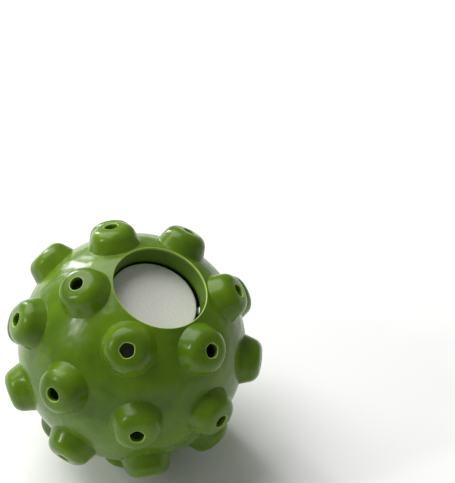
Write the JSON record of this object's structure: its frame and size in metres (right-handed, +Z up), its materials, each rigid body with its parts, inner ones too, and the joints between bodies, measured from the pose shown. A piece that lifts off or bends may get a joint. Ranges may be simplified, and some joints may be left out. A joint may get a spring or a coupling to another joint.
{
  "type": "dryer ball",
  "caption": "Hollow soft ball covered in short vented nubs, with a round collared mouth that holds a cylindrical sponge core to be soaked with water for steaming laundry.",
  "frame": {"origin": "centre of the round ball, which is also the centre of its box", "axes": "+Z up as the ball stands on three nubs; the mouth's axis lies in the YZ plane and leans 21.3 degrees from +Z towards -Y; +X completes the right-handed frame"},
  "size_m": [0.0878, 0.0901, 0.0879],
  "materials": {
    "soft_pvc": "moulded soft PVC, semi-gloss, leaf green",
    "foam": "fine white cellular sponge, matt"
  },
  "bodies": {
    "ball": {"shell": "soft_pvc"},
    "sponge": {"sponge_core": "foam"}
  },
  "joints": [
    {"name": "sponge_slide", "type": "slide", "parent": "ball", "child": "sponge", "axis": [0, -0.363, 0.9318], "range_m": [0, 0.071]}
  ]
}
